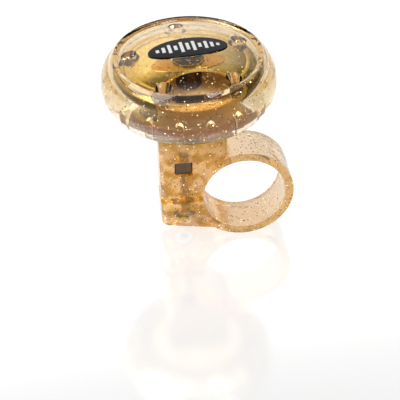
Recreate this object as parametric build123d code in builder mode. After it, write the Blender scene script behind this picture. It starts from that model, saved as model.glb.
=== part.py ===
from build123d import *
from math import atan2, degrees, sqrt
import os

# Rotary handlebar bell. Origin: centre of the handlebar clamp's bore.
# +Y runs along the handlebar, +Z runs up the neck, parallel to the cap's twist axis.
os.makedirs("parts", exist_ok=True)

# ---- fits and clearances (mm) ----
contact_gap = 0.02      # between fixed pieces that touch on round faces
shaft_gap = 0.05        # radial running fit, and end play of the turning stack
moving_gap = 0.4        # between pieces that pass each other
bar_gap = 0.15          # clamp bore over the bar, each side
overshoot = 1.0         # cutting shapes reach past the faces they cut

# ---- clamp and neck ----
bar_radius = 11.1       # 22.2 mm handlebar
ring_wall = 2.25
clamp_width = 11.0
split_width = 2.1
split_z = -0.25
neck_length = 18.3      # along X
neck_height = 30.6      # bore axis to the base plate's underside
axis_margin = 2.45      # bore's surface to the twist axis, along X
neck_lean = 0.15        # neck's middle to twist axis, along X
lug_depth = 8.1         # bore axis to the lug's outer bottom edge
lug_fall = 2.8          # the lug's bottom drops by this much towards the ring
edge_round = 2.2

# ---- clamp screw and nut ----
screw_radius = 1.5      # M3
screw_clearance = 0.2
screw_inset = 6.3       # screw axis to the neck's outer face
screw_head_radius = 2.75
screw_head_height = 2.0
screw_head_round = 0.8
screw_socket_radius = 1.25
screw_socket_depth = 1.3
screw_tail = 1.0        # past the nut
washer_radius = 3.1
washer_thickness = 0.5
seat_depth = 0.9        # washer seat above the lug's lowest outer edge
nut_x, nut_y, nut_z = 4.6, 6.4, 4.2
nut_bottom_z = 8.1
nut_recess = 0.7        # nut face behind the neck's front face
nut_clearance = 0.1
nut_chamfer = 0.25

# ---- base plate ----
plate_thickness = 2.0
plate_round = 0.6
hub_pad_radius = 6.7
hub_pad_height = 0.5
hub_pad_round = 0.3
dowel_spacing = 12.4    # two dowels on the neck stop the plate turning
dowel_radius = 1.1
dowel_height = 1.2

# ---- twist cap ----
cap_radius = 22.6
cap_mouth_drop = 2.0    # mouth edge below the base plate's underside
cap_belly_rise = 6.6    # widest level above the mouth
cap_crest_rise = 13.8
cap_apex_rise = 15.8
cap_wall = 3.3          # at the belly
cap_rim_land = 0.7      # flat width of the mouth edge
lower_arc_inset = 0.55  # the section's arcs pass through these points, inside the belly's radius
lower_arc_drop = 3.4    # below the belly
upper_arc_inset = 1.15
upper_arc_rise = 4.2    # above the belly
rim_crest_inset = 3.55  # crest's radius inside the belly's
groove_inset = 4.85
groove_depth = 0.75     # below the crest
groove_arc_drop = 0.225
dome_thickness = 1.8
cap_corner = 2.4        # inside corner between wall and dome
boss_radius = 4.2
boss_embed = 0.1
rib_count = 16
rib_width = 2.1
rib_depth = 0.8
rib_embed = 0.4
rib_height = 5.2
rib_rise = 0.7          # rib's lower end above the mouth
rib_angle = 9.0

# ---- tappets on the cap ----
tappet_count = 5
tappet_inset = 3.1      # tappets' circle inside the gong's radius
tappet_angle = 24.0
tappet_root_radius = 2.2
tappet_tip_radius = 1.1
tappet_clearance = 0.6

# ---- gong ----
gong_wall = 0.8
gong_rim_gap = 0.9      # rim above the base plate
gong_skirt = 3.2
gong_shoulder = 3.6
shoulder_arc_share = 0.3
crown_arc_radius_share = 0.65
crown_arc_height_share = 0.667
window_width = 23.5
window_inner = 6.3      # the window's inner end to the twist axis
window_angle = -84.0

# ---- turning stack, top to bottom ----
badge_length = 20.4
badge_width = 8.4
badge_angle = 5.0
badge_thickness = 0.8
badge_pocket = 0.45
cap_screw_radius = 1.0
cap_screw_head_radius = 1.9
cap_screw_head_height = 0.5
cap_screw_slot_width = 0.5
cap_screw_slot_depth = 0.3
cap_screw_length = 6.5
cap_screw_hole_spare = 0.5
cap_washer_radius = 2.7
cap_washer_thickness = 0.25
wave_washer_height = 0.38
bush_radius = 2.4
bush_flange_radius = 3.5
bush_flange_height = 0.8
bush_web = 0.97         # cap boss thickness that the bush passes through
gong_washer_thickness = 0.5
journal_radius = 1.6
thrust_washer_thickness = 0.35
washer_inset = 0.2      # washers' edges inside the faces they lie on
hub_radius = 3.3
hub_round = 0.5
stud_radius = 2.4
stud_length = 6.0       # screwed into the neck

# ---- striker ----
pivot_angle = 100.0
pin_radius = 0.8
pin_tail = 0.3          # past the clip
pin_shoulder_inset = 0.3
arm_thickness = 1.0
arm_width = 2.6
arm_end_margin = 0.2
pivot_eye_radius = 2.0
head_inset = 2.7        # inside the tappets' circle
head_angle = 150.0
head_radius = 2.2
head_round = 0.25
tail_inset = 1.5        # inside the tappets' circle
tail_angle = 60.0
tail_radius = 1.0
tappet_lift = 0.35      # tail top below the tappets' tips
rivet_radius = 0.7
rivet_head_radius = 1.2
rivet_head_height = 0.25
clip_radius = 1.7
clip_thickness = 0.4
clip_mouth = 1.05
peg_margin = 0.27       # hub's side to the spring peg's side
finger_gap = 0.35       # between the spring peg and the arm's finger
spring_lift = 0.2       # above the arm, and below the clip
spring_wire = 0.4
spring_turns = 2.5
spring_clearance = 0.25

# ---- derived places ----
bore_radius = bar_radius + bar_gap
ring_radius = bore_radius + ring_wall
cap_x = -bore_radius - axis_margin
neck_mid_x = cap_x + neck_lean
neck_outer_x = neck_mid_x - neck_length / 2
neck_inner_x = neck_mid_x + neck_length / 2
screw_x = neck_outer_x + screw_inset
seat_z = -lug_depth + seat_depth

floor_z = neck_height + plate_thickness
mouth_z = neck_height - cap_mouth_drop
belly_z = mouth_z + cap_belly_rise
crest_z = mouth_z + cap_crest_rise
apex_z = mouth_z + cap_apex_rise
cavity_radius = cap_radius - cap_wall
groove_radius = cap_radius - groove_inset
groove_z = crest_z - groove_depth
crest_radius = cap_radius - rim_crest_inset
dome_rise = apex_z - groove_z
dome_radius = (groove_radius**2 + dome_rise**2) / (2 * dome_rise)
dome_centre_z = apex_z - dome_radius


def dome_height(radius_from_axis, depth):
    """Height of a surface that lies a given depth under the dome's outside."""
    return dome_centre_z + sqrt((dome_radius - depth) ** 2 - radius_from_axis**2)


pocket_z = dome_height(0, badge_pocket)
journal_top_z = pocket_z - 2 * shaft_gap - cap_screw_head_height - cap_washer_thickness
bush_top_z = journal_top_z - wave_washer_height - 2 * shaft_gap
boss_z = bush_top_z - bush_web
gong_top_z = boss_z - gong_washer_thickness
flange_top_z = gong_top_z - gong_wall
flange_bottom_z = flange_top_z - bush_flange_height
hub_shoulder_z = flange_bottom_z - shaft_gap - thrust_washer_thickness

gong_radius = cavity_radius - rib_depth - moving_gap
gong_rim_z = floor_z + gong_rim_gap
plate_radius = cavity_radius - rib_depth - moving_gap
tappet_circle = gong_radius - tappet_inset
head_circle = tappet_circle - head_inset
tail_circle = tappet_circle - tail_inset

arm_z = floor_z + hub_pad_height + moving_gap
tail_top_z = arm_z + 2 * arm_thickness
tappet_tip_z = tail_top_z + tappet_lift
coil_radius = pin_radius + spring_clearance + spring_wire / 2
peg_radius = coil_radius - spring_wire / 2 - contact_gap
finger_radius = peg_radius - contact_gap
finger_reach = coil_radius + spring_wire / 2 + finger_radius + shaft_gap
peg_circle = hub_radius + peg_margin + peg_radius
pivot_circle = peg_circle + peg_radius + finger_gap + finger_radius + finger_reach
tappet_length = dome_height(tappet_circle, dome_thickness / 2) - tappet_tip_z
tappet_taper = degrees(atan2(tappet_root_radius - tappet_tip_radius, tappet_length))

# Planes whose origin lies on the twist axis: a level, and the section seen from the front.
def level(z):
    return Plane((cap_x, 0, z))


section = Plane(origin=(cap_x, 0, 0), x_dir=(1, 0, 0), z_dir=(0, -1, 0))
twist_axis = Axis((cap_x, 0, 0), (0, 0, 1))
profile_plane = Plane(origin=(0, clamp_width / 2, 0), x_dir=(1, 0, 0), z_dir=(0, -1, 0))


def polar(radius, angle):
    """Offset from the twist axis, by radius and angle from +X."""
    return Vector(radius, 0).rotate(Axis.Z, angle)


def dome_shell(bottom_depth, top_depth, gap):
    """An oval of the badge's outline between two depths under the dome's outside."""
    with BuildPart() as shell:
        with BuildSketch(level(belly_z)):
            Ellipse(badge_length / 2 + gap, badge_width / 2 + gap, rotation=badge_angle)
        extrude(amount=apex_z + cap_wall - belly_z)
        with Locations((cap_x, 0, dome_centre_z)):
            Sphere(dome_radius - top_depth, mode=Mode.INTERSECT)
            Sphere(dome_radius - bottom_depth, mode=Mode.SUBTRACT)
    return shell.part


def finish_part(builder, name):
    builder.part.label = name
    export_step(builder.part, f"parts/{name}.step")


# ================= clamp bracket: split ring, neck and lug in one moulding =================
with BuildPart() as clamp_bracket:
    with BuildSketch(profile_plane):
        Circle(ring_radius)
        with BuildLine():
            Polyline(
                (neck_outer_x, neck_height),
                (neck_outer_x, -lug_depth),
                (neck_inner_x - ring_wall, -lug_depth - lug_fall),
                (neck_inner_x - ring_wall, 0),
                (neck_inner_x, ring_radius / 2),
                (neck_inner_x, neck_height),
                close=True,
            )
        make_face()
        Circle(bore_radius, mode=Mode.SUBTRACT)
    extrude(amount=clamp_width)
    fillet(
        clamp_bracket.edges()
        .filter_by(Axis.Z)
        .filter_by(lambda e: e.length > neck_height / 2),
        edge_round,
    )
    # the split, from the bore out through the lug's face
    split_length = abs(neck_outer_x)
    with Locations((-split_length / 2 - bore_radius / 2, 0, split_z)):
        Box(split_length, clamp_width + overshoot, split_width, mode=Mode.SUBTRACT)
    # washer seat, screw hole and nut pocket
    with BuildSketch(Plane.XY.offset(seat_z)):
        with Locations((screw_x, 0)):
            Circle(washer_radius + screw_clearance)
    extrude(amount=-(lug_fall + seat_depth + overshoot), mode=Mode.SUBTRACT)
    with BuildSketch(Plane.XY.offset(seat_z)):
        with Locations((screw_x, 0)):
            Circle(screw_radius + screw_clearance)
    extrude(amount=nut_bottom_z + nut_z + screw_tail + overshoot - seat_z, mode=Mode.SUBTRACT)
    with BuildSketch(Plane.XY.offset(nut_bottom_z - nut_clearance)):
        with Locations((screw_x, -nut_clearance)):
            Rectangle(nut_x + 2 * nut_clearance, nut_y + 2 * nut_clearance)
        with Locations((screw_x, -clamp_width / 2)):
            Rectangle(nut_x + 2 * nut_clearance, clamp_width)
    extrude(amount=nut_z + 2 * nut_clearance, mode=Mode.SUBTRACT)
    # hole for the hub post's stud, and the base plate's dowels
    with BuildSketch(level(neck_height)):
        Circle(stud_radius + contact_gap)
    extrude(amount=-(stud_length + overshoot), mode=Mode.SUBTRACT)
    with BuildSketch(Plane((neck_mid_x, 0, neck_height))):
        with GridLocations(dowel_spacing, 1, 2, 1):
            Circle(dowel_radius)
    extrude(amount=dowel_height)
finish_part(clamp_bracket, "clamp_bracket")

# ================= clamp screw, washer and nut =================
screw_top_z = nut_bottom_z + nut_z + screw_tail
head_top_z = seat_z - washer_thickness
with BuildPart() as clamp_screw:
    with BuildSketch(Plane((screw_x, 0, head_top_z))):
        Circle(screw_radius)
    extrude(amount=screw_top_z - head_top_z)
    with BuildSketch(Plane((screw_x, 0, head_top_z))):
        Circle(screw_head_radius)
    extrude(amount=-screw_head_height)
    fillet(clamp_screw.edges().group_by(Axis.Z)[0], screw_head_round)
    with BuildSketch(Plane((screw_x, 0, head_top_z - screw_head_height))):
        RegularPolygon(screw_socket_radius, 6)
    extrude(amount=screw_socket_depth, mode=Mode.SUBTRACT)
finish_part(clamp_screw, "clamp_screw")

with BuildPart() as clamp_washer:
    with BuildSketch(Plane((screw_x, 0, seat_z))):
        Circle(washer_radius)
        Circle(screw_radius + contact_gap, mode=Mode.SUBTRACT)
    extrude(amount=-washer_thickness)
finish_part(clamp_washer, "clamp_washer")

nut_front_y = -clamp_width / 2 + nut_recess
with BuildPart() as clamp_nut:
    with BuildSketch(Plane((screw_x, nut_front_y + nut_y / 2, nut_bottom_z))):
        Rectangle(nut_x, nut_y)
    extrude(amount=nut_z)
    chamfer(clamp_nut.edges(), nut_chamfer)
    with BuildSketch(Plane((screw_x, 0, nut_bottom_z))):
        Circle(screw_radius + contact_gap)
    extrude(amount=nut_z, mode=Mode.SUBTRACT)
finish_part(clamp_nut, "clamp_nut")

# ================= base plate =================
with BuildPart() as base_plate:
    with BuildSketch(level(neck_height)):
        Circle(plate_radius)
    extrude(amount=plate_thickness)
    fillet(base_plate.edges(), plate_round)
    with BuildSketch(level(floor_z)):
        Circle(hub_pad_radius)
    extrude(amount=hub_pad_height)
    fillet(base_plate.edges().group_by(Axis.Z)[-1], hub_pad_round)
    with BuildSketch(level(neck_height)):
        Circle(stud_radius + contact_gap)
        with PolarLocations(pivot_circle, 1, pivot_angle):
            Circle(pin_radius + contact_gap)
        with PolarLocations(peg_circle, 1, pivot_angle):
            Circle(peg_radius + contact_gap)
    extrude(amount=plate_thickness + hub_pad_height, mode=Mode.SUBTRACT)
    # blind holes for the neck's dowels
    with BuildSketch(Plane((neck_mid_x, 0, neck_height))):
        with GridLocations(dowel_spacing, 1, 2, 1):
            Circle(dowel_radius + contact_gap)
    extrude(amount=dowel_height + contact_gap, mode=Mode.SUBTRACT)
finish_part(base_plate, "base_plate")

# ================= hub post: stud through the plate into the neck, journal for the cap =================
with BuildPart() as hub_post:
    with BuildSketch(level(floor_z + hub_pad_height)):
        Circle(stud_radius)
    extrude(amount=-(hub_pad_height + plate_thickness + stud_length))
    with BuildSketch(level(floor_z + hub_pad_height)):
        Circle(hub_radius)
    extrude(amount=hub_shoulder_z - floor_z - hub_pad_height)
    fillet(hub_post.edges().filter_by(GeomType.CIRCLE).group_by(SortBy.RADIUS)[-1], hub_round)
    with BuildSketch(level(hub_shoulder_z)):
        Circle(journal_radius)
    extrude(amount=journal_top_z - hub_shoulder_z)
    with BuildSketch(level(journal_top_z)):
        Circle(cap_screw_radius + contact_gap)
    extrude(amount=-(cap_screw_length + cap_screw_hole_spare), mode=Mode.SUBTRACT)
finish_part(hub_post, "hub_post")


def ring_part(name, z, height, outer_radius, inner_radius):
    """A flat washer on the twist axis."""
    with BuildPart() as washer:
        with BuildSketch(level(z)):
            Circle(outer_radius)
            Circle(inner_radius, mode=Mode.SUBTRACT)
        extrude(amount=height)
    finish_part(washer, name)


journal_bore = journal_radius + shaft_gap
ring_part("thrust_washer", hub_shoulder_z, thrust_washer_thickness, hub_radius - washer_inset,
          journal_bore)
ring_part("gong_washer", gong_top_z, gong_washer_thickness, boss_radius - washer_inset,
          bush_radius + contact_gap)
ring_part("wave_washer", bush_top_z + shaft_gap, wave_washer_height, bush_radius, journal_bore)
ring_part("cap_washer", journal_top_z, cap_washer_thickness, cap_washer_radius,
          cap_screw_radius + contact_gap)

with BuildPart() as bearing_bush:
    with BuildSketch(level(flange_bottom_z)):
        Circle(bush_flange_radius)
    extrude(amount=bush_flange_height)
    with BuildSketch(level(flange_top_z)):
        Circle(bush_radius)
    extrude(amount=bush_top_z - flange_top_z)
    with BuildSketch(level(flange_bottom_z)):
        Circle(journal_bore)
    extrude(amount=bush_top_z - flange_bottom_z, mode=Mode.SUBTRACT)
finish_part(bearing_bush, "bearing_bush")

cap_head_z = journal_top_z + cap_washer_thickness
with BuildPart() as cap_screw:
    with BuildSketch(level(cap_head_z)):
        Circle(cap_screw_radius)
    extrude(amount=-cap_screw_length)
    with BuildSketch(level(cap_head_z)):
        Circle(cap_screw_head_radius)
    extrude(amount=cap_screw_head_height)
    with BuildSketch(level(cap_head_z + cap_screw_head_height)):
        Rectangle(cap_screw_head_radius * 2 + overshoot, cap_screw_slot_width)
    extrude(amount=-cap_screw_slot_depth, mode=Mode.SUBTRACT)
finish_part(cap_screw, "cap_screw")

# ================= twist cap: thick round rim, shallow dome, ribs and tappets =================
with BuildPart() as twist_cap:
    with BuildSketch(section):
        with BuildLine():
            Line((cavity_radius, mouth_z), (cavity_radius + cap_rim_land, mouth_z))
            ThreePointArc(
                (cavity_radius + cap_rim_land, mouth_z),
                (cap_radius - lower_arc_inset, belly_z - lower_arc_drop),
                (cap_radius, belly_z),
            )
            ThreePointArc(
                (cap_radius, belly_z),
                (cap_radius - upper_arc_inset, belly_z + upper_arc_rise),
                (crest_radius, crest_z),
            )
            ThreePointArc(
                (crest_radius, crest_z),
                ((crest_radius + groove_radius) / 2, crest_z - groove_arc_drop),
                (groove_radius, groove_z),
            )
            ThreePointArc(
                (groove_radius, groove_z),
                (groove_radius / 2, dome_height(groove_radius / 2, 0)),
                (0, apex_z),
            )
            Line((0, apex_z), (0, apex_z - dome_thickness))
            corner_z = dome_height(cavity_radius, dome_thickness)
            ThreePointArc(
                (0, apex_z - dome_thickness),
                (cavity_radius / 2, dome_height(cavity_radius / 2, dome_thickness)),
                (cavity_radius, corner_z),
            )
            Line((cavity_radius, corner_z), (cavity_radius, mouth_z))
        make_face()
    revolve(axis=twist_axis)
    inner_corner = twist_cap.edges().filter_by(GeomType.CIRCLE).filter_by(
        lambda e: abs(e.radius - cavity_radius) < contact_gap and e.center().Z > belly_z
    )
    fillet(inner_corner, cap_corner)
    # centre boss
    with BuildSketch(level(boss_z)):
        Circle(boss_radius)
    extrude(amount=bush_web + boss_embed)
    # stiffening ribs inside the skirt, each with a rounded lower end
    for i in range(rib_count):
        outward = polar(1, rib_angle + i * 360 / rib_count)
        rib_foot = Vector(cap_x, 0, mouth_z + rib_rise) + outward * (cavity_radius - rib_depth)
        with BuildSketch(Plane(origin=rib_foot, x_dir=(0, 0, 1), z_dir=outward)):
            with Locations((rib_height / 2, 0)):
                SlotOverall(rib_height, rib_width)
        extrude(amount=rib_depth + rib_embed)
    # tapered tappets that hang from the dome
    with BuildSketch(level(tappet_tip_z)):
        with PolarLocations(tappet_circle, tappet_count, tappet_angle):
            Circle(tappet_tip_radius)
    extrude(amount=tappet_length, taper=-tappet_taper)
    # badge pocket, its floor parallel to the dome
    add(dome_shell(badge_pocket, -overshoot, contact_gap), mode=Mode.SUBTRACT)
    # bush hole, and the counterbore for the screw and its washers
    with BuildSketch(level(bush_top_z)):
        Circle(cap_washer_radius + moving_gap)
    extrude(amount=apex_z - bush_top_z, mode=Mode.SUBTRACT)
    with BuildSketch(level(boss_z)):
        Circle(bush_radius + contact_gap)
    extrude(amount=bush_web, mode=Mode.SUBTRACT)
finish_part(twist_cap, "twist_cap")

# ================= badge: oval plate bent to the dome =================
with BuildPart() as badge_plate:
    add(dome_shell(badge_pocket - contact_gap, badge_pocket - badge_thickness, 0))
finish_part(badge_plate, "badge_plate")

# ================= gong: pressed dome with a front window and tappet holes =================
gong_shoulder_z = gong_rim_z + gong_skirt
shoulder_inset = gong_shoulder * shoulder_arc_share
bend_radius = gong_radius - gong_shoulder
bend_z = dome_height(bend_radius, dome_thickness) - moving_gap - gong_wall
crown_arc_radius = bend_radius * crown_arc_radius_share
with BuildPart() as gong:
    with BuildSketch(section):
        with BuildLine():
            Line((0, gong_rim_z), (gong_radius, gong_rim_z))
            Line((gong_radius, gong_rim_z), (gong_radius, gong_shoulder_z))
            ThreePointArc(
                (gong_radius, gong_shoulder_z),
                (gong_radius - shoulder_inset, bend_z - (bend_z - gong_shoulder_z) * shoulder_arc_share),
                (bend_radius, bend_z),
            )
            ThreePointArc(
                (bend_radius, bend_z),
                (crown_arc_radius, bend_z + (gong_top_z - bend_z) * crown_arc_height_share),
                (boss_radius, gong_top_z),
            )
            Line((boss_radius, gong_top_z), (0, gong_top_z))
            Line((0, gong_top_z), (0, gong_rim_z))
        make_face()
    revolve(axis=twist_axis)
    offset(amount=-gong_wall, openings=gong.faces().sort_by(Axis.Z)[0])
    with BuildSketch(level(gong_rim_z)):
        # front window: an arch in plan, open at the rim
        with PolarLocations(gong_radius, 1, window_angle):
            Ellipse(gong_radius - window_inner, window_width / 2)
    extrude(amount=gong_top_z - gong_rim_z, mode=Mode.SUBTRACT)
    with BuildSketch(level(tappet_tip_z - tappet_clearance)):
        with PolarLocations(tappet_circle, tappet_count, tappet_angle):
            Circle(tappet_root_radius + tappet_clearance)
    extrude(amount=gong_top_z - tappet_tip_z + tappet_clearance, mode=Mode.SUBTRACT)
    with BuildSketch(level(gong_rim_z)):
        Circle(bush_radius + contact_gap)
    extrude(amount=gong_top_z - gong_rim_z, mode=Mode.SUBTRACT)
finish_part(gong, "gong")

# ================= striker: arm, weight, rivet, pin, clip, spring and stop =================
pivot = polar(pivot_circle, pivot_angle)
head = polar(head_circle, head_angle)
tail = polar(tail_circle, tail_angle)
finger = polar(pivot_circle - finger_reach, pivot_angle)
pin_hole = pin_radius + shaft_gap
arm_end_radius = arm_width / 2 + arm_end_margin
spring_z = arm_z + arm_thickness + spring_lift
spring_rise = spring_turns * (spring_wire + shaft_gap)
clip_z = spring_z + spring_rise + spring_wire + spring_lift

with BuildPart() as striker_arm:
    with BuildSketch(level(arm_z)):
        with BuildLine():
            Polyline(head, pivot, tail)
            offset(amount=arm_width / 2)
        make_face()
        with Locations(pivot):
            Circle(pivot_eye_radius)
        with Locations(head):
            Circle(arm_end_radius)
        with Locations(finger):
            Circle(finger_radius)
    extrude(amount=arm_thickness)
    # finger between the spring's legs
    with BuildSketch(level(arm_z + arm_thickness)):
        with Locations(finger):
            Circle(finger_radius)
    extrude(amount=clip_z - arm_z - arm_thickness)
    # the tail's tip, turned up towards the tappets
    with BuildSketch(level(arm_z + arm_thickness)):
        with Locations(tail):
            Circle(tail_radius)
    extrude(amount=tail_top_z - arm_z - arm_thickness)
    with BuildSketch(level(arm_z)):
        with Locations(pivot):
            Circle(pin_hole)
        with Locations(head):
            Circle(rivet_radius + contact_gap)
    extrude(amount=arm_thickness, mode=Mode.SUBTRACT)
finish_part(striker_arm, "striker_arm")

weight_z = floor_z + moving_gap + rivet_head_height
weight_top_z = tappet_tip_z - moving_gap - rivet_head_height
with BuildPart() as striker_weight:
    with BuildSketch(level(weight_z)):
        with Locations(head):
            Circle(head_radius)
    extrude(amount=weight_top_z - weight_z)
    fillet(striker_weight.edges(), head_round)
    with BuildSketch(level(weight_z)):
        with Locations(head):
            Circle(rivet_radius + contact_gap)
    extrude(amount=weight_top_z - weight_z, mode=Mode.SUBTRACT)
    # slot for the arm, open towards the pivot
    with BuildSketch(level(arm_z - contact_gap)):
        with BuildLine():
            Polyline(head, pivot)
            offset(amount=arm_end_radius + contact_gap)
        make_face()
    extrude(amount=arm_thickness + 2 * contact_gap, mode=Mode.SUBTRACT)
finish_part(striker_weight, "striker_weight")

with BuildPart() as striker_rivet:
    with BuildSketch(level(weight_z - rivet_head_height)):
        with Locations(head):
            Circle(rivet_head_radius)
    extrude(amount=rivet_head_height)
    with BuildSketch(level(weight_z)):
        with Locations(head):
            Circle(rivet_radius)
    extrude(amount=weight_top_z - weight_z)
    with BuildSketch(level(weight_top_z)):
        with Locations(head):
            Circle(rivet_head_radius)
    extrude(amount=rivet_head_height)
finish_part(striker_rivet, "striker_rivet")

with BuildPart() as striker_pin:
    with BuildSketch(level(neck_height + contact_gap)):
        with Locations(pivot):
            Circle(pin_radius)
    extrude(amount=clip_z + clip_thickness + pin_tail - neck_height - contact_gap)
    # shoulder that carries the arm
    with BuildSketch(level(floor_z)):
        with Locations(pivot):
            Circle(pivot_eye_radius - pin_shoulder_inset)
    extrude(amount=arm_z - shaft_gap - floor_z)
finish_part(striker_pin, "striker_pin")

with BuildPart() as pin_clip:
    with BuildSketch(level(clip_z)):
        with Locations(pivot):
            Circle(clip_radius)
            Circle(pin_radius + contact_gap, mode=Mode.SUBTRACT)
            with Locations((0, clip_radius)):
                Rectangle(clip_mouth, clip_radius * 2, mode=Mode.SUBTRACT)
    extrude(amount=clip_thickness)
finish_part(pin_clip, "pin_clip")

# spring peg in the hub pad, level with the top of the coil
peg = polar(peg_circle, pivot_angle)
with BuildPart() as spring_peg:
    with BuildSketch(level(neck_height + contact_gap)):
        with Locations(peg):
            Circle(peg_radius)
    extrude(amount=clip_z - neck_height - contact_gap)
finish_part(spring_peg, "spring_peg")

# torsion spring: its legs run along both sides of the finger and the peg, and centre the arm
coil_centre = Vector(cap_x, 0, spring_z + spring_wire / 2) + pivot
leg_length = pivot_circle - peg_circle + peg_radius
with BuildPart() as coiled_wire:
    with BuildLine() as wire_line:
        coil = Helix(pitch=spring_rise / spring_turns, height=spring_rise, radius=coil_radius)
        Line(coil @ 0, coil @ 0 - (coil % 0) * leg_length)
        Line(coil @ 1, coil @ 1 + (coil % 1) * leg_length)
    wire = wire_line.wires()[0]
    with BuildSketch(Plane(origin=wire @ 0, z_dir=wire % 0)):
        Circle(spring_wire / 2)
    sweep(path=wire, is_frenet=True)
with BuildPart() as striker_spring:
    with Locations(Location(coil_centre, (0, 0, pivot_angle - 90))):
        add(coiled_wire.part)
finish_part(striker_spring, "striker_spring")
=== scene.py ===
import math

import bpy
from mathutils import Matrix, Vector


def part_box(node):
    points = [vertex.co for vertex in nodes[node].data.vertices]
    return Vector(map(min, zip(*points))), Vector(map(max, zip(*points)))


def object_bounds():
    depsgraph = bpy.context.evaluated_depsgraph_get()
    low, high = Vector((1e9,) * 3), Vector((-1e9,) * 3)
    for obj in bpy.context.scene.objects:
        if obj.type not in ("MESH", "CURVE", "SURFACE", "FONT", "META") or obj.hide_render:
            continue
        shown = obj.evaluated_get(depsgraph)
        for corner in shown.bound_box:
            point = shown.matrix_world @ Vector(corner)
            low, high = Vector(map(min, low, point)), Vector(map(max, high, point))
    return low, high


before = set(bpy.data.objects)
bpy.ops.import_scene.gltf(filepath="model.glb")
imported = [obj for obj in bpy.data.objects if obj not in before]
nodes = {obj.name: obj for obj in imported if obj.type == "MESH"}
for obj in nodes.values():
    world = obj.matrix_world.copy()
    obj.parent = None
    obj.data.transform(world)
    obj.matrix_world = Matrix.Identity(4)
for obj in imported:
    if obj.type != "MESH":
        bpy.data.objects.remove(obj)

cad_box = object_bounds()
scene = bpy.context.scene
MM = 0.001


def grey(value):
    return (value, value, value)


BLACK, WHITE = grey(0.0), grey(1.0)

# ---------------------------------------------------------------- places read from the frame
cap_low, cap_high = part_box("twist_cap")
cap_centre = (cap_low + cap_high) / 2
twist_x = cap_centre.x
bracket_low, bracket_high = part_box("clamp_bracket")
badge_low, badge_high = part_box("badge_plate")
gong_low, gong_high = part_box("gong")
floor_height = min(bracket_low.z, cad_box[0][2])

# ---------------------------------------------------------------- camera, room and lamps
camera_azimuth, camera_elevation, camera_roll = -6.17, 38.46, 1.58
camera_aim = Vector((twist_x + 1.3 * MM, -6.8 * MM, 0.5 * MM))
camera_distance = 0.330
focal_length, sensor_width = 110.2, 36
near_clip = 0.01

# brightness from low in front to high behind
room_slope = 0.4
room_stops = ((0.00, 0.25), (0.25, 0.30), (0.45, 0.55), (0.60, 1.10), (0.80, 1.35))
dark_band, dim_side = grey(0.06), grey(0.16)

# name, azimuth, elevation, width and height, watts
lamps = (
    ("softbox_left", -78, 53, (0.38, 0.38), 2.4),
    ("softbox_right", 40, 62, (0.12, 0.20), 0.5),
)
lamp_distance = 0.45

floor_half = 3.0
floor_look = {"Base Color": (0.15, 0.15, 0.15, 1), "Roughness": 0.12, "IOR": 3.2,
              "Emission Color": (1, 1, 1, 1), "Emission Strength": 0.69}
card_half, card_top, card_y = 0.8, 0.33, 0.30
card_look = {"Base Color": (0, 0, 0, 1), "Specular IOR Level": 0,
             "Emission Color": (1, 1, 1, 1), "Emission Strength": 1.0}

# ---------------------------------------------------------------- colours and patterns
cap_tints = ((0.96, 0.92, 0.86), (0.94, 0.88, 0.80), (0.90, 0.82, 0.70))
neck_tints = ((0.98, 0.76, 0.50), (0.82, 0.54, 0.20), (0.58, 0.34, 0.03))
plate_tints = ((0.98, 0.76, 0.42), (0.92, 0.68, 0.32), (0.82, 0.58, 0.20))
ring_tint = (0.78, 0.63, 0.51)
# the base plate's clear rim: an olive tint, darkened partly as painted shade from the cap above
plate_rim_tint_and_painted_shade = (0.42, 0.28, 0.05)
# painted shade: the neck's top turns dark olive under the cap
painted_shade_tint = (0.30, 0.22, 0.02)
lamp_through_plastic = (0.98, 0.90, 0.74, 1)
plastic_ior = 1.49
clear_end = 0.96        # transmission where a cloudy plastic has turned clear

# flakes: cells per metre, radius as a share of a cell, share of the cells that hold one
cap_flakes = ((1350, 0.22, 0.32), (800, 0.17, 0.16))
neck_flakes = ((1250, 0.24, 0.50), (900, 0.20, 0.34), (620, 0.15, 0.26))
plate_flakes = neck_flakes[:1]
flake_stops = (
    (0.0, (0.16, 0.08, 0.02)),
    (0.35, (0.42, 0.24, 0.08)),
    (0.55, (0.90, 0.66, 0.30)),
    (1.0, (1.0, 0.90, 0.66)),
)
# painted glints: the brightest flakes glow, though they are no lamp
painted_glint_colour = (1.0, 0.86, 0.58)
painted_glint_from = 0.62       # the brightest flakes glow
flake_roughness = 0.22
flake_tilt = 1.3

# where the bracket turns from the cloudy neck to the clear ring, and where painted shade darkens its neck
# under the cap
ring_starts = bracket_low.x + 16.3 * MM
ring_clear = ring_starts + 3.5 * MM
painted_shade_starts = bracket_high.z - 17 * MM
painted_shade_full = bracket_high.z - 9 * MM
# where the base plate turns from its cloudy middle to its clear rim
plate_rim_starts, plate_rim_clear = 12 * MM, 14 * MM

# gold with painted shade: dark at the gong's rim, bright at its crown
painted_shade_gold_stops = (
    (0.48, (0.10, 0.065, 0.008)),
    (0.70, (0.56, 0.40, 0.04)),
    (0.84, (0.96, 0.78, 0.26)),
    (1.0, (0.97, 0.86, 0.42)),
)
# noise that blotches where the painted shade falls
gold_patches = 0.25

# badge: a row of upright bars
bar_pitch = 1.55 * MM
bar_heights = (0.8, 1.5, 2.4, 1.3, 3.0, 2.0, 2.8, 1.2, 2.1, 1.4, 0.7)
tallest_half = 2.4 * MM
bar_half_width = 0.27   # share of the pitch
badge_angle = math.radians(5)
badge_black, badge_silver = (0.008, 0.008, 0.010), (0.72, 0.72, 0.70)
# the underside: tan with a painted glow, so the gong mirrors it lit instead of dark
underside_tan, painted_underside_glow = (0.80, 0.60, 0.28), (0.80, 0.55, 0.22)


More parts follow.
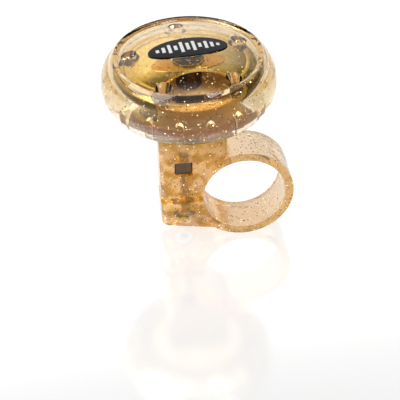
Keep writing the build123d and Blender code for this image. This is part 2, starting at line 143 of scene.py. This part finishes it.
# ---------------------------------------------------------------- camera, floor, lights
def viewpoint(azimuth, elevation, roll=0):
    """Right, up and back of a viewer in that direction; azimuth 0 looks along +Y."""
    a, e, r = (math.radians(angle) for angle in (azimuth, elevation, roll))
    back = Vector((math.sin(a) * math.cos(e), -math.cos(a) * math.cos(e), math.sin(e)))
    level = Vector((math.cos(a), math.sin(a), 0))
    upright = back.cross(level)
    right = level * math.cos(r) - upright * math.sin(r)
    up = level * math.sin(r) + upright * math.cos(r)
    return right, up, back


def place(obj, axes, target, distance):
    """Put an object at a distance from its target, looking at it."""
    scene.collection.objects.link(obj)
    turn = Matrix(axes).transposed().to_4x4()
    obj.matrix_world = Matrix.Translation(target + axes[2] * distance) @ turn


def make_camera():
    data = bpy.data.cameras.new("camera")
    data.lens = focal_length
    data.sensor_width = sensor_width
    data.clip_start = near_clip
    camera = bpy.data.objects.new("camera", data)
    place(camera, viewpoint(camera_azimuth, camera_elevation, camera_roll), camera_aim, camera_distance)
    scene.camera = camera


def make_lamp(name, azimuth, elevation, size, power):
    data = bpy.data.lights.new(name, "AREA")
    data.shape = "RECTANGLE"
    data.size, data.size_y = size
    data.energy = power
    place(bpy.data.objects.new(name, data), viewpoint(azimuth, elevation), cap_centre, lamp_distance)


def make_world():
    """White for the camera; for the rest a studio, dark low in front and bright high behind."""
    world = bpy.data.worlds.new("studio")
    world.use_nodes = True
    nt = world.node_tree
    background = nt.nodes["Background"]
    x, y, z = axes_of(nt, nt.nodes.new("ShaderNodeTexCoord").outputs["Generated"])
    slope = math_node(nt, "ADD", math_node(nt, "MULTIPLY", y, room_slope),
                      math_node(nt, "MULTIPLY", z, room_slope))
    room = ramp(nt, math_node(nt, "ADD", slope, room_slope), [(at, grey(v)) for at, v in room_stops])
    # a dim side to the right
    side = ramp(nt, x, [(0.08, BLACK), (0.40, WHITE)])
    under_top = ramp(nt, z, [(0.70, WHITE), (0.92, BLACK)])
    room = mix(nt, math_node(nt, "MULTIPLY", side, under_top), room, dim_side)
    # a dark band high up behind
    behind = ramp(nt, y, [(0.10, BLACK), (0.30, WHITE)])
    steep = ramp(nt, z, [(0.66, BLACK), (0.74, WHITE), (0.86, WHITE), (0.92, BLACK)])
    room = mix(nt, math_node(nt, "MULTIPLY", behind, steep), room, dark_band)
    camera_ray = nt.nodes.new("ShaderNodeLightPath").outputs["Is Camera Ray"]
    nt.links.new(mix(nt, camera_ray, room, WHITE), background.inputs["Color"])
    background.inputs["Strength"].default_value = 1.0
    scene.world = world


def make_sheet(name, corners, look):
    """A flat piece of the studio."""
    mesh = bpy.data.meshes.new(name)
    mesh.from_pydata(corners, [], [(0, 1, 2, 3)])
    sheet = bpy.data.objects.new(name, mesh)
    scene.collection.objects.link(sheet)
    material, _, shader = new_material(name + "_white")
    set_inputs(shader, look)
    mesh.materials.append(material)
    return sheet


def make_stage():
    h = floor_half
    make_sheet("floor", [(x, y, floor_height) for x, y in ((-h, -h), (h, -h), (h, h), (-h, h))], floor_look)
    # a low card behind, which only reflections see: the floor mirrors it
    h = card_half
    card = make_sheet("card", [(x, card_y, z) for x, z in (
        (-h, floor_height), (h, floor_height), (h, card_top), (-h, card_top))], card_look)
    card.visible_camera = card.visible_diffuse = False
    card.visible_transmission = card.visible_shadow = False
    scene.view_settings.view_transform = "Standard"
    make_world()
    for lamp in lamps:
        make_lamp(*lamp)


# ---------------------------------------------------------------- node helpers
def new_material(name):
    material = bpy.data.materials.new(name)
    material.use_nodes = True
    nt = material.node_tree
    return material, nt, nt.nodes["Principled BSDF"]


def set_inputs(node, values):
    for name, value in values.items():
        node.inputs[name].default_value = value


def link_inputs(nt, node, sources):
    for name, source in sources.items():
        nt.links.new(source, node.inputs[name])


def object_coords(nt):
    return nt.nodes.new("ShaderNodeTexCoord").outputs["Object"]


def axes_of(nt, vector):
    split = nt.nodes.new("ShaderNodeSeparateXYZ")
    nt.links.new(vector, split.inputs[0])
    return split.outputs["X"], split.outputs["Y"], split.outputs["Z"]


def math_node(nt, operation, a, b=None):
    node = nt.nodes.new("ShaderNodeMath")
    node.operation = operation
    for socket, value in zip(node.inputs, (a, b)):
        if value is None:
            continue
        if isinstance(value, (int, float)):
            socket.default_value = value
        else:
            nt.links.new(value, socket)
    return node.outputs[0]


def vector_node(nt, operation, a, b=None, scale=None):
    node = nt.nodes.new("ShaderNodeVectorMath")
    node.operation = operation
    for socket, value in zip(node.inputs, (a, b)):
        if isinstance(value, tuple):
            socket.default_value = value
        elif value is not None:
            nt.links.new(value, socket)
    if scale is not None:
        nt.links.new(scale, node.inputs["Scale"])
    return node.outputs[0]


def noise(nt, scale, detail=3, roughness=0.5):
    node = nt.nodes.new("ShaderNodeTexNoise")
    set_inputs(node, {"Scale": scale, "Detail": detail, "Roughness": roughness})
    nt.links.new(object_coords(nt), node.inputs["Vector"])
    return node.outputs["Fac"]


def ramp(nt, value, stops, constant=False):
    node = nt.nodes.new("ShaderNodeValToRGB")
    if constant:
        node.color_ramp.interpolation = "CONSTANT"
    elements = node.color_ramp.elements
    while len(elements) < len(stops):
        elements.new(0.5)
    for element, (position, colour) in zip(elements, stops):
        element.position = position
        element.color = (*colour, 1)
    nt.links.new(value, node.inputs["Fac"])
    return node.outputs["Color"]


def mix(nt, factor, a, b):
    node = nt.nodes.new("ShaderNodeMix")
    node.data_type = "RGBA"
    nt.links.new(factor, node.inputs[0])
    for name, value in (("A", a), ("B", b)):
        if isinstance(value, tuple):
            node.inputs[name].default_value = (*value, 1)
        else:
            nt.links.new(value, node.inputs[name])
    return node.outputs["Result"]


def share_between(nt, value, start, end):
    """0 up to start, 1 from end, and even between them."""
    past = math_node(nt, "SUBTRACT", value, start)
    return ramp(nt, math_node(nt, "DIVIDE", past, end - start), [(0.0, BLACK), (1.0, WHITE)])


def bumped(nt, height, distance, strength):
    node = nt.nodes.new("ShaderNodeBump")
    set_inputs(node, {"Distance": distance, "Strength": strength})
    nt.links.new(height, node.inputs["Height"])
    return node.outputs["Normal"]


def flakes(nt, scale, radius, share):
    """1 inside small round flakes, in a share of a jittered 3-D grid's cells.

    Also gives a value and a random vector for each cell.
    """
    cells = nt.nodes.new("ShaderNodeTexVoronoi")
    cells.inputs["Scale"].default_value = scale
    nt.links.new(object_coords(nt), cells.inputs["Vector"])
    split = nt.nodes.new("ShaderNodeSeparateColor")
    nt.links.new(cells.outputs["Color"], split.inputs["Color"])
    inside = math_node(nt, "LESS_THAN", cells.outputs["Distance"], radius)
    chosen = math_node(nt, "LESS_THAN", split.outputs["Red"], share)
    return math_node(nt, "MULTIPLY", inside, chosen), split.outputs["Green"], cells.outputs["Color"]


# ---------------------------------------------------------------- materials
def clear_amber(name, tints, clearness, absorption, density, roughness, wave, layers, glow, gloss=0.5,
                around=None, clears=None, clear_tint=None, painted_shade_heights=None):
    """Clear moulded plastic full of metal flakes, some bright and some dark; the brightest carry a painted
    glint that glows.

    tints: the plastic's colour from its clear to its cloudy places. wave: scale, depth, strength and
    detail of the uneven surface. layers: the sizes of flake. clears: the two places between which the
    plastic turns from cloudy to clear and takes clear_tint, along X or, with around, out from the
    upright axis at that x. painted_shade_heights: the two heights between which painted shade darkens it
    upwards.
    """
    material, nt, shader = new_material(name)
    set_inputs(shader, {"IOR": plastic_ior, "Specular IOR Level": gloss, "Emission Strength": glow})
    mask, value, tilt = flakes(nt, *layers[0])
    for layer in layers[1:]:
        mask = math_node(nt, "MAXIMUM", mask, flakes(nt, *layer)[0])
    x, y, z = axes_of(nt, object_coords(nt))
    colour = ramp(nt, noise(nt, 300, 3, 0.6), [(0.42, tints[0]), (0.49, tints[1]), (0.57, tints[2])])
    if clears:
        reach = x
        if around is not None:
            off_axis = math_node(nt, "SUBTRACT", x, around)
            squares = [math_node(nt, "MULTIPLY", v, v) for v in (off_axis, y)]
            reach = math_node(nt, "SQRT", math_node(nt, "ADD", *squares))
        cleared = share_between(nt, reach, *clears)
        colour = mix(nt, cleared, colour, clear_tint)
        clearness = math_node(nt, "ADD", clearness, math_node(nt, "MULTIPLY", cleared, clear_end - clearness))
    # painted shade: the neck darkens upwards, towards the cap
    if painted_shade_heights:
        colour = mix(nt, share_between(nt, z, *painted_shade_heights), colour, painted_shade_tint)
    # painted glints: the brightest flakes glow
    painted_glint_mask = math_node(nt, "MULTIPLY", mask, math_node(nt, "GREATER_THAN", value, painted_glint_from))
    smear = ramp(nt, noise(nt, 260), [(0.35, grey(roughness[0])), (0.75, grey(roughness[1]))])
    # the wavy surface, with each flake tilted its own way
    wave_scale, wave_depth, wave_strength, wave_detail = wave
    wavy = bumped(nt, noise(nt, wave_scale, wave_detail), wave_depth, wave_strength)
    swing = vector_node(nt, "SCALE", vector_node(nt, "SUBTRACT", tilt, grey(0.5)),
                        scale=math_node(nt, "MULTIPLY", mask, flake_tilt))
    link_inputs(nt, shader, {
        "Base Color": mix(nt, mask, colour, ramp(nt, value, flake_stops)),
        "Emission Color": mix(nt, painted_glint_mask, BLACK, painted_glint_colour),
        "Transmission Weight": math_node(nt, "MULTIPLY", math_node(nt, "SUBTRACT", 1.0, mask), clearness),
        "Metallic": mask,
        "Roughness": mix(nt, mask, smear, grey(flake_roughness)),
        "Normal": vector_node(nt, "NORMALIZE", vector_node(nt, "ADD", wavy, swing)),
    })
    volume = nt.nodes.new("ShaderNodeVolumeAbsorption")
    set_inputs(volume, {"Color": (*absorption, 1), "Density": density})
    # shadow rays pass, so that lamps reach what is behind the plastic
    through = nt.nodes.new("ShaderNodeBsdfTransparent")
    through.inputs["Color"].default_value = lamp_through_plastic
    either = nt.nodes.new("ShaderNodeMixShader")
    nt.links.new(nt.nodes.new("ShaderNodeLightPath").outputs["Is Shadow Ray"], either.inputs[0])
    nt.links.new(shader.outputs[0], either.inputs[1])
    nt.links.new(through.outputs[0], either.inputs[2])
    link_inputs(nt, nt.nodes["Material Output"], {"Volume": volume.outputs[0], "Surface": either.outputs[0]})
    return material


def grained(name, colour, roughness, scale, spread, depth, metallic):
    """A plain surface with fine variation of its colour and gloss."""
    material, nt, shader = new_material(name)
    shader.inputs["Metallic"].default_value = metallic
    grain = noise(nt, scale)
    dark = tuple(c * spread for c in colour)
    link_inputs(nt, shader, {
        "Base Color": ramp(nt, grain, [(0.3, dark), (0.7, colour)]),
        "Roughness": ramp(nt, grain, [(0.3, grey(roughness[0])), (0.8, grey(roughness[1]))]),
        "Normal": bumped(nt, grain, depth, 0.4),
    })
    return material


def metal(name, colour, roughness):
    return grained(name, colour, roughness, scale=500, spread=0.82, depth=0.02 * MM, metallic=1.0)


def plain(name, colour, roughness):
    return grained(name, colour, roughness, scale=700, spread=0.85, depth=0.03 * MM, metallic=0.0)


def gong_gold():
    """Polished gold with painted shade: bright on the gong's crown and dark down its sides."""
    material, nt, shader = new_material("gold_polished")
    shader.inputs["Metallic"].default_value = 1.0
    z = axes_of(nt, object_coords(nt))[2]
    # painted shade: the colour darkens from the crown down to the rim
    climb = math_node(nt, "DIVIDE", math_node(nt, "SUBTRACT", z, gong_low.z), gong_high.z - gong_low.z)
    patches = math_node(nt, "MULTIPLY", math_node(nt, "SUBTRACT", noise(nt, 120), 0.5), gold_patches)
    link_inputs(nt, shader, {
        "Base Color": ramp(nt, math_node(nt, "ADD", climb, patches), painted_shade_gold_stops),
        "Roughness": ramp(nt, noise(nt, 350), [(0.3, grey(0.13)), (0.8, grey(0.22))]),
        "Normal": bumped(nt, noise(nt, 110, 1), 0.30 * MM, 0.30),
    })
    return material


def badge_print():
    """Gloss black with a row of silver bars of different heights, and a tan underside with a painted glow."""
    material, nt, shader = new_material("badge_print")
    centre = (badge_low + badge_high) / 2
    mapping = nt.nodes.new("ShaderNodeMapping")
    mapping.vector_type = "TEXTURE"
    set_inputs(mapping, {"Location": (centre.x, centre.y, 0), "Rotation": (0, 0, badge_angle)})
    nt.links.new(object_coords(nt), mapping.inputs["Vector"])
    x, y, _ = axes_of(nt, mapping.outputs["Vector"])
    # which bar, and how high it is
    count = len(bar_heights)
    along = math_node(nt, "ADD", math_node(nt, "DIVIDE", x, bar_pitch), count / 2)
    stops = [(i / count, grey(height / max(bar_heights))) for i, height in enumerate(bar_heights)]
    height = ramp(nt, math_node(nt, "DIVIDE", along, count), stops, constant=True)
    off_middle = math_node(nt, "SUBTRACT", math_node(nt, "FRACT", along), 0.5)
    in_width = math_node(nt, "LESS_THAN", math_node(nt, "ABSOLUTE", off_middle), bar_half_width)
    in_height = math_node(nt, "LESS_THAN", math_node(nt, "ABSOLUTE", y),
                          math_node(nt, "MULTIPLY", height, tallest_half))
    in_row = math_node(nt, "LESS_THAN", math_node(nt, "ABSOLUTE", x), bar_pitch * count / 2)
    bars = math_node(nt, "MULTIPLY", math_node(nt, "MULTIPLY", in_width, in_height), in_row)
    facing = axes_of(nt, nt.nodes.new("ShaderNodeNewGeometry").outputs["True Normal"])[2]
    # painted light: the underside glows tan for the gong's reflection
    under = math_node(nt, "LESS_THAN", facing, -0.5)
    speck = ramp(nt, noise(nt, 900), [(0.3, grey(0.10)), (0.8, grey(0.22))])
    set_inputs(shader, {"Emission Strength": 0.5, "Specular IOR Level": 0.12})
    link_inputs(nt, shader, {
        "Base Color": mix(nt, under, mix(nt, bars, badge_black, badge_silver), underside_tan),
        "Emission Color": mix(nt, under, BLACK, painted_underside_glow),
        "Metallic": math_node(nt, "MULTIPLY", bars, 0.8),
        "Roughness": mix(nt, bars, speck, grey(0.35)),
    })
    return material


def give(material, *names):
    for name in names:
        slots = nodes[name].material_slots
        for slot in slots:
            slot.material = material
        if not slots:
            nodes[name].data.materials.append(material)


# ---------------------------------------------------------------- build
make_camera()
make_stage()
give(clear_amber(
    "amber_cap", cap_tints, clearness=1.0, absorption=(0.86, 0.70, 0.32), density=140,
    roughness=(0.01, 0.05), wave=(160, 0.04 * MM, 0.10, 1), layers=cap_flakes, glow=0.5, gloss=0.15,
), "twist_cap")
give(clear_amber(
    "amber_neck", neck_tints, clearness=0.70, absorption=(0.87, 0.68, 0.12), density=130,
    roughness=(0.05, 0.20), wave=(190, 0.30 * MM, 0.60, 3), layers=neck_flakes, glow=0.35,
    clears=(ring_starts, ring_clear), clear_tint=ring_tint, painted_shade_heights=(painted_shade_starts, painted_shade_full),
), "clamp_bracket")
give(clear_amber(
    "amber_floor", plate_tints, clearness=0.12, absorption=(0.84, 0.65, 0.08), density=120,
    roughness=(0.35, 0.50), wave=(190, 0.10 * MM, 0.30, 2), layers=plate_flakes, glow=0.1, gloss=0.15,
    around=twist_x, clears=(plate_rim_starts, plate_rim_clear), clear_tint=plate_rim_tint_and_painted_shade,
), "base_plate")
give(gong_gold(), "gong")
give(metal("bronze_dark", (0.05, 0.032, 0.006), (0.35, 0.5)), "hub_post")
give(metal("steel_zinc", (0.50, 0.46, 0.40), (0.25, 0.42)),
     "clamp_screw", "clamp_washer", "cap_screw", "cap_washer", "wave_washer",
     "striker_rivet", "striker_pin", "pin_clip", "spring_peg", "striker_spring")
give(metal("steel_dark", (0.14, 0.10, 0.06), (0.3, 0.5)), "clamp_nut")
give(metal("brass_turned", (0.55, 0.38, 0.16), (0.2, 0.35)), "bearing_bush", "striker_arm", "striker_weight")
give(badge_print(), "badge_plate")
give(plain("nylon_natural", (0.70, 0.62, 0.50), (0.4, 0.6)), "thrust_washer")
give(plain("rubber_soft", (0.03, 0.03, 0.03), (0.6, 0.8)), "gong_washer")
